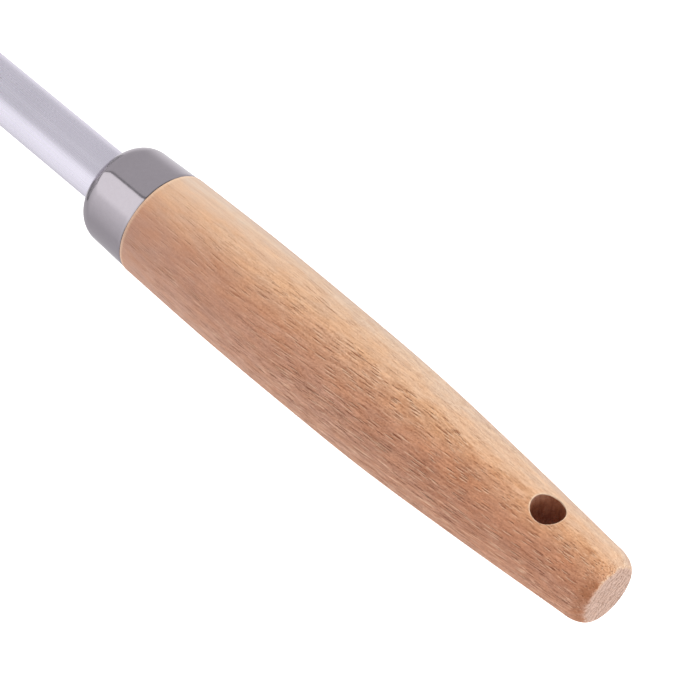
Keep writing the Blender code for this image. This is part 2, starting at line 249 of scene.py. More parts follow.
# The wood's tones round the barrel, by angle in degrees from +Y, turning up. They are averaged and
# rounded from a longer list that a comparison with the photo had corrected.
# Besides the wood's own tones, these colours hold painted light and shade fixed to the barrel's sides:
# painted light on the upper side, a painted shade band near 150 degrees and a pale painted sheen near 40
# degrees.
WOOD_TONES_AND_PAINTED_SHADE = (
    (-25, "dcb48c"),  # pale back
    (40, "caae9a"),  # sapwood, greyed by a painted pale sheen where the barrel turns away
    (60, "dabda3"),  # cream sapwood, lightened by painted light from above
    (94, "e3b793"),  # honey
    (130, "cf9a7c"),  # orange brown
    (150, "c7947a"),  # brown heartwood, darkened by a painted shade band between the two lit sides
    (195, "c1957e"),
    (250, "c49678"),
)


def fleck_strokes(g, grain, patch):
    """Dark strokes of the rays, short ones in patches and fewer long ones everywhere."""
    short = g.cells(g.scale(grain, (0.13, 2.5, 2.5)))
    short = g.fall(short, 0.17, 0.30)
    long = g.cells(g.scale(grain, (0.07, 1.45, 1.45)))
    long = g.fall(long, 0.11, 0.21)
    long = g.times(long, g.range(patch, 0.0, 1.0, 0.25, 1.0))
    return g.math("MAXIMUM", g.times(short, patch), long)


def beech_material():
    material, g, shader = new_material("beech_wood", Specular_IOR_Level=0.2)
    place = millimetres(g, (JOINT_X, 0, AXIS_Z))
    x, y, z = g.xyz(place)

    # The grain leans a little off the axis and wanders
    drift = g.minus(g.noise(g.scale(place, (0.03, 0.07, 0.07)), detail=1), 0.5)
    kink = g.minus(g.noise(g.scale(place, (0.22, 0.5, 0.5)), detail=2), 0.5)
    sway = g.times_plus(drift, 1.6, g.times(kink, 0.22))
    along = g.math("MAXIMUM", x, 38.0)
    lean_y = g.plus(g.times_plus(along, -0.052, y), sway)
    lean_z = g.times_plus(sway, 0.7, g.times_plus(along, -0.038, z))
    grain = g.vector(x, lean_y, lean_z)

    # Pale sapwood on one side, browner heartwood on the other. The colours by angle round the barrel also
    # hold painted light and shade: lighter on the top and upper +Y side, a painted shade band near 150
    # degrees, and a pale painted sheen near 40 degrees
    wander = g.noise(g.scale(grain, (0.06, 0.2, 0.2)), detail=3)
    wander = g.minus(wander, 0.5)
    turn = g.times(g.math("ARCTAN2", z, y), 180 / math.pi)
    turn = g.times_plus(wander, 26.0, turn)
    below = g.times(g.math("LESS_THAN", turn, -90.0), 360.0)
    turn = g.math("DIVIDE", g.plus(g.plus(turn, below), 90.0), 360.0)
    stops = [((angle + 90) / 360, linear(tone)) for angle, tone in WOOD_TONES_AND_PAINTED_SHADE]
    colour = g.ramp(turn, [(0.0, stops[-1][1]), *stops])
    near_ferrule = g.range(x, 5.0, 45.0, 0.9, 0.0)
    colour = g.tint(colour, (0.98, 1.05, 1.14), near_ferrule)
    near_butt = g.range(x, 75.0, 110.0, 0.0, 1.0)
    colour = g.tint(colour, (1.01, 0.965, 0.93), near_butt)

    side = g.plus(g.times(y, 0.68), g.times(z, 0.73))
    side = g.times_plus(wander, 7.0, side)
    sap = g.step(g.minus(side, g.range(x, 20.0, 134.0, 10.4, 7.0)), -0.4, 0.4)
    edge_strength = g.range(g.step(x, 50.0, 100.0), 0.0, 1.0, 0.3, 0.85)
    warm = g.mix(sap, (0.90, 0.85, 0.80), (1.05, 1.09, 1.12))
    colour = g.tint(colour, warm, edge_strength)

    # Growth rings, far-off centre, so they cross as broad faint bands
    ring_y = g.minus(lean_y, 38.0)
    ring_z = g.plus(lean_z, 60.0)
    ring_y = g.times(ring_y, ring_y)
    ring_r = g.math("SQRT", g.times_plus(ring_z, ring_z, ring_y))
    ring_r = g.times_plus(wander, 1.6, ring_r)
    ring = g.math("FRACT", g.math("DIVIDE", ring_r, 2.6))
    late = g.band(ring, 0.45, 0.95, 0.95, 1.0)
    colour = g.mix(g.times(late, 0.12), colour, (0.36, 0.17, 0.09))

    # Warm and pale mottling
    mottle = g.noise(g.scale(grain, (0.16, 0.42, 0.42)), detail=3, roughness=0.6)
    warm = g.mix(g.step(mottle, 0.30, 0.70), (1.05, 0.97, 0.86), (0.97, 1.02, 1.08))
    colour = g.tint(colour, warm, 0.5)

    # Ray flecks: short dark lenses along the grain, and fewer long ones, each with a painted highlight
    # stroke beside it
    patch = g.noise(g.scale(grain, (0.045, 0.22, 0.22)), detail=2)
    bare = g.range(sap, 0.0, 1.0, 0.0, 0.20)
    patch = g.step(g.minus(patch, bare), 0.16, 0.60)
    vigour = g.minus(g.range(x, 5.0, 65.0, 0.40, 1.45), g.range(x, 95.0, 120.0, 0.0, 0.25))
    fleck = fleck_strokes(g, grain, patch)
    # Painted highlight: a lighter stroke just beside each fleck, as if one wall of its groove caught the
    # light
    beside = g.add("VectorMath", {0: grain, 1: (0.0, 0.16, 0.13)}, operation="ADD").outputs[0]
    painted_fleck_highlight = g.minus(fleck_strokes(g, beside, patch), fleck, clamp=True)

    fibre = g.noise(g.scale(grain, (0.14, 2.5, 2.5)), detail=2, roughness=0.5)
    speckle = g.noise(g.scale(grain, (1.8, 3.4, 3.4)), detail=2, roughness=0.6)
    tone = g.range(fibre, 0.25, 0.75, -0.18, 0.18)
    tone = g.plus(tone, g.range(speckle, 0.25, 0.75, -0.15, 0.15))
    tone = g.times(tone, g.times(vigour, g.range(sap, 0.0, 1.0, 1.35, 0.80)))
    tone = g.vector(*(g.times_plus(tone, share, 1.0) for share in (0.75, 1.0, 1.15)))
    colour = g.tint(colour, tone)
    fade = g.noise(g.scale(grain, (0.3, 0.9, 0.9)), detail=1)
    stain = g.times(fleck, g.range(fade, 0.3, 0.7, 0.16, 0.64))
    stain = g.times(stain, vigour, clamp=True)
    colour = g.tint(colour, (0.50, 0.25, 0.15), stain)
    # The painted highlight beside the flecks
    colour = g.mix(g.times(painted_fleck_highlight, g.times(vigour, 0.36)), colour, (0.94, 0.69, 0.48))

    # End grain on the butt. Its rounded edge is pale on the upper side, part wear and part painted
    # highlight, and darker on the lower side
    normal = g.add("NewGeometry").outputs["Normal"]
    facing = g.xyz(normal)[0]
    rough_edge = g.times_plus(g.minus(mottle, 0.5), 0.35, facing)
    rough_edge = g.times_plus(g.minus(speckle, 0.5), 0.22, rough_edge)
    upper = g.step(side, -2.0, 2.5)
    end = g.step(rough_edge, g.range(upper, 0.0, 1.0, 0.66, 0.80), g.range(upper, 0.0, 1.0, 1.02, 0.93))
    end_ring = g.times_plus(mottle, 3.2, g.math("DIVIDE", ring_r, 1.5))
    end_ring = g.math("FRACT", end_ring)
    pores = g.cells(g.scale(place, (1.0, 1.5, 1.5)))
    pores = g.fall(pores, 0.12, 0.34)
    end_colour = g.mix(g.step(end_ring, 0.25, 1.0), (0.63, 0.43, 0.34), (0.33, 0.18, 0.12))
    end_colour = g.mix(g.times(pores, 0.45), end_colour, (0.32, 0.16, 0.10))
    end_colour = g.mix(g.range(speckle, 0.35, 0.65, 0.0, 0.45), end_colour, (0.80, 0.58, 0.46))
    colour = g.mix(end, colour, end_colour)
    # Pale upper edge: partly wear, partly a painted highlight on the side towards the light
    pale_edge_wear_and_highlight = g.band(rough_edge, 0.74, 0.82, 0.86, 0.97)
    pale_edge_wear_and_highlight = g.times(pale_edge_wear_and_highlight, upper)
    colour = g.mix(g.times(pale_edge_wear_and_highlight, g.range(speckle, 0.40, 0.60, 0.0, 0.75)), colour, (0.90, 0.66, 0.46))
    # The butt's rounded edge is darker on its lower side
    darker_lower_edge = g.minus(g.step(facing, 0.10, 0.50), g.step(rough_edge, 0.72, 0.86))
    darker_lower_edge = g.times(darker_lower_edge, g.fall(side, 1.0, 5.0), clamp=True)
    darker_lower_edge = g.times(darker_lower_edge, g.range(mottle, 0.35, 0.65, 0.85, 0.30))
    colour = g.mix(darker_lower_edge, colour, (0.34, 0.13, 0.055))

    # Cut edges are pale. The drilled hole's inside is painted dark as shade, and lighter near the rim on
    # one side as painted light on its wall
    rim = g.times(g.attribute("rim"), g.range(speckle, 0.3, 0.6, 0.65, 1.0))
    colour = g.mix(g.times(rim, 0.92), colour, (0.96, 0.72, 0.51))
    bore = g.attribute("bore")
    bore_streaks = g.noise(g.scale(place, (1.2, 1.2, 0.5)), detail=3)
    painted_bore_shade = g.mix(g.step(bore_streaks, 0.3, 0.7), (0.34, 0.11, 0.048), (0.49, 0.20, 0.105))
    colour = g.mix(g.times(bore, 0.95), colour, painted_bore_shade)

    roughness = g.times_plus(fleck, 0.15, g.range(fibre, 0.2, 0.8, 0.46, 0.60))
    relief = g.times_plus(fibre, 0.6, g.times(fleck, -0.5))
    relief = g.times_plus(speckle, 0.6, relief)
    g.finish(shader, colour, roughness, g.bump(g.times(relief, vigour), 0.00020))
    return material


def steel_material(name, colour, roughness, lines, depth, tint=0.04, spots=0.0):
    """Brushed or polished steel. lines are the scale factors that stretch the brushing."""
    material, g, shader = new_material(name, Metallic=1.0)
    place = millimetres(g)
    brush = g.noise(g.scale(place, lines), detail=3, roughness=0.65)
    cloud = g.noise(place, scale=0.045, detail=3)
    fine = g.noise(place, scale=2.2, detail=2)
    tone = g.range(brush, 0.3, 0.7, 1.0 - tint, 1.0 + tint)
    tone = g.times(tone, g.range(cloud, 0.3, 0.7, 0.96, 1.03))
    base = g.tint(colour, g.vector(tone, tone, tone))
    if spots:
        spot = g.cells(place, scale=0.11)
        spot = g.fall(spot, 0.10, 0.16)
        base = g.mix(g.times(spot, spots), base, tuple(0.8 * c for c in colour))
    rough = g.range(brush, 0.3, 0.7, roughness * 0.85, roughness * 1.15)
    rough = g.times_plus(fine, roughness * 0.15, rough)
    g.finish(shader, base, rough, g.bump(brush, depth))
    return material


def weld_material():
    """Bare weld metal with straw, brown and blue heat colours in its ripples."""
    material, g, shader = new_material("weld_metal", Metallic=1.0)
    place = millimetres(g)
    heat = g.noise(place, scale=0.32, detail=3, roughness=0.6)
    colour = g.mix(g.step(heat, 0.30, 0.48), (0.50, 0.48, 0.47), (0.58, 0.51, 0.41))
    colour = g.mix(g.step(heat, 0.52, 0.64), colour, (0.38, 0.36, 0.42))
    fine = g.noise(place, scale=3.0, detail=3)
    g.finish(shader, colour, g.range(fine, 0.3, 0.7, 0.28, 0.48), g.bump(fine, 0.00004))
    return material


def nylon_material():
    material, g, shader = new_material("nylon")
    place = millimetres(g)
    cloud = g.noise(place, scale=1.2, detail=3)
    colour = g.mix(cloud, (0.80, 0.81, 0.80), (0.70, 0.72, 0.72))
    g.finish(shader, colour, g.range(cloud, 0.3, 0.7, 0.38, 0.5), g.bump(cloud, 0.00003))
    return material


BEECH = beech_material()
POLISHED = steel_material(
    "polished_steel", (0.50, 0.465, 0.50), 0.10, (0.9, 0.9, 0.9), 0.000004, tint=0.02
)
TUBE_STEEL = steel_material(
    "satin_tube_steel", (0.87, 0.845, 0.945), 0.26, (0.05, 3.0, 3.0), 0.0000015, tint=0.005
)
PLATE_STEEL = steel_material("brushed_plate_steel", (0.74, 0.73, 0.745), 0.30, (4.0, 4.0, 0.05), 0.000012)
SHEET_STEEL = steel_material(
    "brushed_sheet_steel", (0.70, 0.70, 0.71), 0.30, (0.06, 3.5, 3.5), 0.000014, spots=0.25
)
WIRE_STEEL = steel_material(
    "bright_wire_steel", (0.76, 0.76, 0.77), 0.22, (0.35, 0.5, 0.5), 0.000004, tint=0.03
)
TANG_STEEL = steel_material("tang_steel", (0.35, 0.34, 0.33), 0.5, (0.3, 2.0, 2.0), 0.00002)
BOLT_STEEL = steel_material("fastener_steel", (0.72, 0.72, 0.73), 0.26, (1.4, 1.4, 1.4), 0.00001)
WELD = weld_material()
NYLON = nylon_material()


# --- Meshes ---


def new_object(name, data):
    obj = bpy.data.objects.new(name, data)
    bpy.context.scene.collection.objects.link(obj)
    return obj


def finish_mesh(shell, name, material, node=None, sharp=32):
    """Closes the bmesh into an object that rides on the body and stands for a CAD node."""
    bmesh.ops.recalc_face_normals(shell, faces=shell.faces)
    mesh = bpy.data.meshes.new(name)
    shell.to_mesh(mesh)
    shell.free()
    for polygon in mesh.polygons:
        polygon.use_smooth = True
    mesh.set_sharp_from_angle(angle=math.radians(sharp))
    mesh.materials.append(material)
    obj = new_object(name, mesh)
    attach(obj, "root")
    if node:
        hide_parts(node)


def skin(shell, a, b, left_out=()):
    """Faces between two rings of vertices. A ring of one vertex closes the end."""
    count = max(len(a), len(b))
    for j in range(count):
        if j not in left_out:
            k = (j + 1) % count
            corners = [a[j % len(a)], a[k % len(a)], b[k % len(b)], b[j % len(b)]]
            shell.faces.new(list(dict.fromkeys(corners)))


def loft(rings, closed=False, capped=False):
    """A skin over rings of points, closed to a loop or capped with flat ends if asked."""
    shell = bmesh.new()
    rows = [[shell.verts.new(p) for p in ring] for ring in rings]
    for a, b in zip(rows, rows[1:]):
        skin(shell, a, b)
    if closed:
        skin(shell, rows[-1], rows[0])
    if capped:
        shell.faces.new(rows[0])
        shell.faces.new(list(reversed(rows[-1])))
    return shell


def axis_ring(x, radius, count):
    """count points round the shaft's axis at x, or one point if the radius is 0."""
    if radius <= 0:
        return [(x, 0, AXIS_Z)]
    angles = [math.tau * j / count for j in range(count)]
    return [(x, radius * math.cos(a), AXIS_Z + radius * math.sin(a)) for a in angles]


def turned(profile, segments):
    """A thin-walled solid turned about the shaft's axis, from (x, radius) points."""
    return loft([axis_ring(x, radius, segments) for x, radius in profile], closed=True)


def arc(centre, radii, start, end, steps):
    angles = [math.radians(start + (end - start) * i / steps) for i in range(steps + 1)]
    return [
        (centre[0] + radii[0] * math.cos(a), centre[1] + radii[1] * math.sin(a)) for a in angles
    ]


def smooth_path(knots, steps):
    """Points of a Catmull-Rom curve through knots, steps to each stretch."""
    points = [Vector(k) for k in knots]
    ends = [2 * points[0] - points[1], *points, 2 * points[-1] - points[-2]]
    path = []
    for a, b, c, d in zip(ends, ends[1:], ends[2:], ends[3:]):
        for i in range(steps):
            t = i / steps
            path.append(
                0.5 * (2 * b + t * (c - a) + t * t * (2 * a - 5 * b + 4 * c - d)
                       + t**3 * (3 * b - a - 3 * c + d))
            )
    return [*path, points[-1]]


GRIP_CURVE = [(JOINT_X + x * MM, r * MM) for x, r in smooth_path(GRIP_OUTLINE, 60)]


def grip_radius(x):
    """The barrel's radius at x, up to where the butt's edge starts to round."""
    for (x0, r0), (x1, r1) in zip(GRIP_CURVE, GRIP_CURVE[1:]):
        if x <= x1:
            return r0 + (r1 - r0) * (x - x0) / (x1 - x0)
    return GRIP_CURVE[-1][1]


def ragged(angle, seed, size):
    """A repeatable small change that closes on itself round a circle."""
    return size * noise.noise(Vector((2.2 * math.cos(angle), 2.2 * math.sin(angle), seed)))


def make_grip():
    """The turned grip, its barrel opened by a drilled hole with a softened rim."""
    segments = 144
    half_cells = 15
    cell_x = 6.5 * MM / half_cells
    hole_rows = [HANG_HOLE_X + i * cell_x for i in range(-half_cells, half_cells + 1)]
    edge_x, edge_radius = GRIP_CURVE[-1]

    def spread(start, end, step):
        count = max(1, round((end - start) / step))
        return [start + (end - start) * i / count for i in range(count)]

    shoulder_x = JOINT_X - GAP + 0.03 * MM
    seat = FERRULE_RADIUS - FERRULE_WALL - GAP
    seat_x = JOINT_X - FERRULE_STRAIGHT - 1 * MM
    front = [
        (JOINT_X + TANG_IN_WOOD + 4 * MM, 0),
        (JOINT_X + TANG_IN_WOOD + 2 * MM, TANG_RADIUS + GAP),
        (JOINT_X + SHAFT_IN_WOOD + GAP, TANG_RADIUS + GAP),
        (JOINT_X + SHAFT_IN_WOOD + GAP, SHAFT_RADIUS + GAP),
        (seat_x, SHAFT_RADIUS + GAP),
        (seat_x, seat - FERRULE_NARROWING - 0.3 * MM),
        (seat_x + 0.3 * MM, seat - FERRULE_NARROWING),
        (shoulder_x, seat),
    ]
    rounding = ((0, 0.16), (0.1, 0.05), (0.3, 0.01))
    wood = grip_radius(JOINT_X)
    shoulder = [(shoulder_x + run * MM, wood - drop * MM) for run, drop in rounding]
    barrel = [
        *spread(JOINT_X + 0.8 * MM, hole_rows[0], 1.1 * MM),
        *hole_rows[:-1],
        *spread(hole_rows[-1], edge_x, 1.0 * MM),
    ]
    edge = arc(
        (edge_x, BUTT_FACE_RADIUS), (BUTT_X - edge_x, edge_radius - BUTT_FACE_RADIUS), 90, 0, 16
    )
    face = [(BUTT_X, BUTT_FACE_RADIUS * k / 8) for k in range(7, -1, -1)]
    profile = [*front, *shoulder, *((x, grip_radius(x)) for x in barrel), *edge, *face]
    first_row = len(front) + len(shoulder) + barrel.index(hole_rows[0])

    shell = bmesh.new()
    rim = shell.verts.layers.float.new("rim")
    # bore: how much painted shade darkens the hole's inner wall
    bore = shell.verts.layers.float.new("bore")
    rows = [[shell.verts.new(p) for p in axis_ring(x, r, segments)] for x, r in profile]
    for row in rows[len(front):len(front) + len(shoulder)]:
        for vertex in row:
            vertex[rim] = 0.6

    quarter = segments // 4
    sides = (
        range(quarter - half_cells, quarter + half_cells + 1),
        range(3 * quarter + half_cells, 3 * quarter - half_cells - 1, -1),
    )
    opened = {j for side in sides for j in range(min(side), max(side))}
    last_row = first_row + 2 * half_cells
    for i, (a, b) in enumerate(zip(rows, rows[1:])):
        skin(shell, a, b, opened if first_row <= i < last_row else ())

    def border(side):
        """The patch's border vertices, in the same order seen along the hole on both sides."""
        columns = list(side)
        path = [rows[i][columns[0]] for i in range(first_row, last_row)]
        path += [rows[last_row][c] for c in columns[:-1]]
        path += [rows[i][columns[-1]] for i in range(last_row, first_row, -1)]
        path += [rows[first_row][c] for c in reversed(columns[1:])]
        return path

    def surface(x, y, sign):
        return AXIS_Z + sign * math.sqrt(grip_radius(x) ** 2 - y * y)

    wall_ends = []
    for sign, side in zip((1, -1), sides):
        path = border(side)
        angles = [math.atan2(v.co.y, v.co.x - HANG_HOLE_X) for v in path]
        softness = [(0.24 * MM + ragged(a, 3.0 * sign, 0.14 * MM)) for a in angles]
        outer = [
            (HANG_HOLE_RADIUS + c) * Vector((math.cos(a), math.sin(a)))
            for a, c in zip(angles, softness)
        ]
        loops = [path]
        for k in range(7, 0, -1):
            share = (k / 8) ** 1.25
            loop = []
            for vertex, point in zip(path, outer):
                flat = Vector((vertex.co.x - HANG_HOLE_X, vertex.co.y))
                flat = point.lerp(flat, share)
                x = HANG_HOLE_X + flat.x
                loop.append(shell.verts.new((x, flat.y, surface(x, flat.y, sign))))
            loops.append(loop)
        for k in range(6):
            turn = math.pi / 2 * k / 5
            loop = []
            for angle, c, point in zip(angles, softness, outer):
                radius = HANG_HOLE_RADIUS + c * (1 - math.sin(turn))
                top = surface(HANG_HOLE_X + point.x, point.y, sign)
                x, y = HANG_HOLE_X + radius * math.cos(angle), radius * math.sin(angle)
                vertex = shell.verts.new((x, y, top - sign * c * (1 - math.cos(turn))))
                vertex[rim] = 1.0 if k else 0.3
                loop.append(vertex)
            loops.append(loop)
        for a, b in zip(loops, loops[1:]):
            skin(shell, a, b)
        wall_ends.append(loops[-1])

    wall = [wall_ends[0]]
    for share in (0.01, *(s / 16 for s in range(1, 16)), 0.99):
        loop = []
        for angle, a, b in zip(angles, *wall_ends):
            vertex = shell.verts.new(a.co.lerp(b.co, share))
            # Painted light on the wall near the rim, on the side at 215 degrees; painted shade below it
            # and on the other sides
            pale = 0.55 * max(0.0, math.cos(angle - math.radians(215)))
            vertex[bore] = 1.0 - pale * max(0.0, 1.0 - 8 * share)
            loop.append(vertex)
        wall.append(loop)
    wall.append(wall_ends[1])
    for a, b in zip(wall, wall[1:]):
        skin(shell, a, b)
    finish_mesh(shell, "turned_grip", BEECH, "grip", sharp=40)


def make_ferrule():
    """Thin drawn cap: straight skirt, domed front, rounded-over free edges."""
    hole = SHAFT_RADIUS + GAP
    straight_x = JOINT_X - FERRULE_STRAIGHT

    def outline(inset, steps):
        rear = FERRULE_RADIUS - inset
        front = rear - FERRULE_NARROWING
        depth = FERRULE_DOME - inset
        steps_back = [JOINT_X - GAP - k * 1.2 * MM for k in range(1, 9)]
        skirt = [(x, rear - FERRULE_NARROWING * (JOINT_X - x) / FERRULE_STRAIGHT) for x in steps_back]
        dome = arc((straight_x, hole), (-depth, front - hole), 90, 0, steps)
        return [*skirt, *dome]

    outside = outline(0, 28)
    inside = outline(FERRULE_WALL, 14)
    edge = 0.22 * MM
    rear_x = JOINT_X - GAP
    lip = [
        (rear_x - edge, FERRULE_RADIUS),
        (rear_x - edge * 0.3, FERRULE_RADIUS - edge * 0.3),
        (rear_x, FERRULE_RADIUS - edge),
        (rear_x, FERRULE_RADIUS - FERRULE_WALL + edge),
        (rear_x - edge, FERRULE_RADIUS - FERRULE_WALL),
    ]
    profile = [*reversed(lip[:3]), *outside, *reversed(inside), *reversed(lip[3:])]
    finish_mesh(turned(profile, 160), "domed_ferrule", POLISHED, "ferrule")


def make_shaft():
    front = BRACKET_FACE_X
    rear = JOINT_X + SHAFT_IN_WOOD
    inner = SHAFT_RADIUS - SHAFT_WALL
    count = 40
    outside = [(front + (rear - front) * i / count, SHAFT_RADIUS) for i in range(count + 1)]
    profile = [*outside, (rear, inner), (front, inner)]
    finish_mesh(turned(profile, 128), "satin_tube", TUBE_STEEL, "shaft_tube")


def plate_mesh(outlines, sheet, edge):
    """A bmesh of a flat plate in local XY, centred on Z = 0, its edges rounded by edge."""
    curve = bpy.data.curves.new("outline", "CURVE")
    curve.dimensions = "2D"
    curve.fill_mode = "BOTH"
    curve.extrude = sheet / 2 - edge
    curve.bevel_depth = edge
    curve.bevel_resolution = 1
    curve.offset = -edge
    for outline in outlines:
        spline = curve.splines.new("POLY")
        spline.points.add(len(outline) - 1)
        for point, (x, y) in zip(spline.points, outline):
            point.co = (x, y, 0, 1)
        spline.use_cyclic_u = True
    obj = new_object("outline", curve)
    bpy.context.view_layer.update()
    graph = bpy.context.evaluated_depsgraph_get()
    mesh = bpy.data.meshes.new_from_object(obj.evaluated_get(graph))
    bpy.data.objects.remove(obj, do_unlink=True)
    bpy.data.curves.remove(curve)
    shell = bmesh.new()
    shell.from_mesh(mesh)
    bpy.data.meshes.remove(mesh)
    bmesh.ops.remove_doubles(shell, verts=shell.verts, dist=0.002 * MM)
    return shell


def hexagon(x, y, flats):
    """A hexagon with slightly rounded corners."""
    corner = 0.5 * MM
    radius = flats / math.sqrt(3)
    points = []
    for i in range(6):
        angle = math.radians(60 * i)
        centre = radius - corner * 2 / math.sqrt(3)
        cx, cy = x + centre * math.cos(angle), y + centre * math.sin(angle)
        for spread in (-30, 0, 30):
            a = angle + math.radians(spread)
            points.append((cx + corner * math.cos(a), cy + corner * math.sin(a)))
    return points


def circle(x, y, radius, steps):
    angles = [math.tau * i / steps for i in range(steps)]
    return [(x + radius * math.cos(a), y + radius * math.sin(a)) for a in angles]


def bolt_places():
    return [(y, z) for z in BOLT_HEIGHTS for y in (-BOLT_Y, BOLT_Y)]


def bolt_holes():
    return [circle(y, z, BOLT_RADIUS + GAP, 40) for y, z in bolt_places()]


def rounded_box(half_width, bottom, top, corner):
    outline = []
    middles = (
        (half_width - corner, top - corner, 0),
        (corner - half_width, top - corner, 90),
        (corner - half_width, bottom + corner, 180),
        (half_width - corner, bottom + corner, 270),
    )
    for y, z, start in middles:
        outline += arc((y, z), (corner, corner), start, start + 90, 12)
    return outline


def upright(x):
    """Lays a plate's local X along Y and its local Y along Z, its middle at x."""
    return Matrix(((0, 0, 1, x), (1, 0, 0, 0), (0, 1, 0, 0), (0, 0, 0, 1)))


def make_bracket():
    edge = rounded_box(BRACKET_WIDTH / 2, BRACKET_BOTTOM, BRACKET_TOP, BRACKET_CORNER)
    shell = plate_mesh([edge, *bolt_holes()], BRACKET_SHEET, 0.4 * MM)
    shell.transform(upright(BACK_X + GAP + BRACKET_SHEET / 2))
    finish_mesh(shell, "bracket_with_rounded_edges", PLATE_STEEL, "bracket_plate")


def gusset_outline(steps):
    left = BRACKET_FACE_X
    top = UNDER_SHAFT_Z - GAP
    bottom = BRACKET_BOTTOM + 3 * MM
    toe = 4 * MM
    hollow = arc(
        (left + GUSSET_LENGTH, bottom), (GUSSET_LENGTH - toe, top - toe - bottom), 90, 180, steps
    )
    return [(left, bottom), (left, top), (left + GUSSET_LENGTH, top), *hollow]


def make_gusset():
    shell = plate_mesh([gusset_outline(36)], GUSSET_SHEET, 0.35 * MM)
    shell.transform(Matrix(((1, 0, 0, 0), (0, 0, -1, 0), (0, 1, 0, 0), (0, 0, 0, 1))))
    finish_mesh(shell, "gusset_web", PLATE_STEEL, "gusset")


# --- Basket ---


def wall_top(x):
    share = max(BACK_X - x - WALL_LEVEL, 0) / (TRAY_LENGTH - WALL_LEVEL)
    return WALL_REAR + (WALL_FRONT - WALL_REAR) * share


def fold(u, inward, sheet):
    """(y, z) of a point of a flat blank folded to the basket's U."""
    middle = BEND_RADIUS - sheet / 2
    run = abs(u) - FLAT_HALF
    if run <= 0:
        return u, sheet / 2 + inward
    angle = min(run / middle, math.pi / 2)
    radius = middle - inward
    y = FLAT_HALF + radius * math.sin(angle)
    z = BEND_RADIUS - radius * math.cos(angle) + max(run - middle * math.pi / 2, 0)
    return math.copysign(y, u), z


def blank_half(x, sheet):
    bend = (BEND_RADIUS - sheet / 2) * math.pi / 2
    return FLAT_HALF + bend + wall_top(x) - BEND_RADIUS


def tray_holes():
    column = HOLE_PITCH * math.sqrt(3) / 2
    first = BACK_X - REAR_BORDER - HOLE_FLATS / 2
    last = BACK_X - TRAY_LENGTH + HOLE_MARGIN + HOLE_FLATS / 2
    holes = []
    columns = math.ceil(blank_half(BACK_X, SHEET) / column)
    for j in range(-columns, columns + 1):
        x = first - (HOLE_PITCH / 2 if j % 2 else 0)
        while x >= last:
            reach = abs(j) * column + HOLE_FLATS / math.sqrt(3) + HOLE_MARGIN
            if reach <= blank_half(x - HOLE_FLATS / 2, SHEET):
                holes.append(hexagon(j * column, x, HOLE_FLATS))
            x -= HOLE_PITCH
    return holes


def make_tray():
    bends = 20
    front = BACK_X - TRAY_LENGTH
    rear_half = blank_half(BACK_X, SHEET)
    right = [
        (blank_half(front, SHEET), front),
        (rear_half, BACK_X - WALL_LEVEL),
        (rear_half, BACK_X),
    ]
    edge = [*right, *((-u, x) for u, x in reversed(right))]
    shell = plate_mesh([edge, *tray_holes()], SHEET, 0.2 * MM)
    bend = (BEND_RADIUS - SHEET / 2) * math.pi / 2
    for side in (-1, 1):
        for i in range(bends + 1):
            bmesh.ops.bisect_plane(
                shell, geom=[*shell.verts, *shell.edges, *shell.faces],
                plane_co=(side * (FLAT_HALF + bend * i / bends), 0, 0), plane_no=(1, 0, 0),
                dist=0.001 * MM,
            )
    for vertex in shell.verts:
        u, x, inward = vertex.co
        vertex.co = (x, *fold(u, inward, SHEET))
    finish_mesh(shell, "perforated_tray", SHEET_STEEL, "basket_tray")


def back_holes():
    holes = []
    column = HOLE_PITCH * math.sqrt(3) / 2
    for side in (-1, 1):
        for j in (0, 1):
            y = side * (37 * MM + j * column)
            z = 21 * MM + (HOLE_PITCH / 2 if j else 0)
            while z + HOLE_FLATS / 2 + HOLE_MARGIN <= WALL_REAR:
                holes.append(hexagon(y, z, HOLE_FLATS))
                z += HOLE_PITCH
    return holes


def make_back_plate():
    inset = SHEET + GAP
    half = BASKET_WIDTH / 2 - inset
    corner = BEND_RADIUS - inset
    bottom = [
        *arc((corner - half, inset + corner), (corner, corner), 180, 270, 24),
        *arc((half - corner, inset + corner), (corner, corner), 270, 360, 24),
    ]
    edge = [(half, WALL_REAR), (-half, WALL_REAR), *bottom]
    shell = plate_mesh([edge, *bolt_holes(), *back_holes()], BACK_SHEET, 0.22 * MM)
    shell.transform(upright(BACK_X - BACK_SHEET / 2))
    finish_mesh(shell, "perforated_back", SHEET_STEEL, "back_plate")


def make_lip():
    """The solid lip: a U band whose front runs in a smooth sweep and is ground from inside."""
    rear = BACK_X - TRAY_LENGTH - GAP
    length = rear - LIP_TIP_X
    half = blank_half(rear, 0)
    across = 150
    ground = 0.75  # share of the lip's length where the grinding starts
    ground_off = 0.76  # share of the sheet's thickness that the edge has lost
    flat = [0.02 + (ground - 0.02) * i / 10 for i in range(1, 11)]
    along = [0.0, 0.006, 0.02, *flat, 0.80, 0.86, 0.92, 0.97, 1.0]

    def thickness(share):
        return LIP_SHEET * (1 - ground_off * max(0.0, share - ground) / (1 - ground))

    rings = []
    for i in range(across + 1):
        u = half * (2 * i / across - 1)
        rise = min(fold(u, 0, 0)[1] / WALL_FRONT, 1)
        here = length + (LIP_SIDE - length) * math.sin(rise * math.pi / 2) ** 1.4
        outer = [(rear - s * here, *fold(u, 0.0, 0)) for s in along]
        inner = [(rear - s * here, *fold(u, thickness(s), 0)) for s in reversed(along)]
        rings.append([*outer, *inner])
    finish_mesh(loft(rings, capped=True), "ground_lip", SHEET_STEEL, "cutting_lip", sharp=25)


